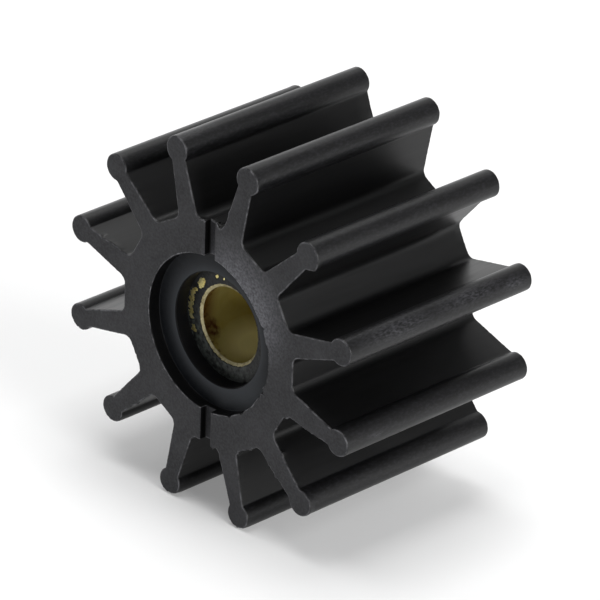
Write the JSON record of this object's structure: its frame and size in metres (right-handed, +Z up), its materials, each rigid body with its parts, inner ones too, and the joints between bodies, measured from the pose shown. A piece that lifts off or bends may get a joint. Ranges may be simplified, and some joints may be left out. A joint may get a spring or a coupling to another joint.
{
  "type": "rubber pump impeller",
  "caption": "Flexible rubber pump impeller: bead-tipped blades moulded round a plain-bored brass bush, with a stepped recess in each end.",
  "frame": {"origin": "on the shaft's axis, halfway along the blades", "axes": "+Y along the shaft from the front end to the back end, +Z up through the pocket in line with the end slots, +X to the right seen from the front"},
  "size_m": [0.0798, 0.0514, 0.0798],
  "materials": {
    "rubber": "matte moulded, with satin bead sides",
    "brass": "turned, dulled in the bore"
  },
  "bodies": {
    "root": {"rubber_rotor": "rubber", "brass_bush": "brass"}
  },
  "joints": []
}
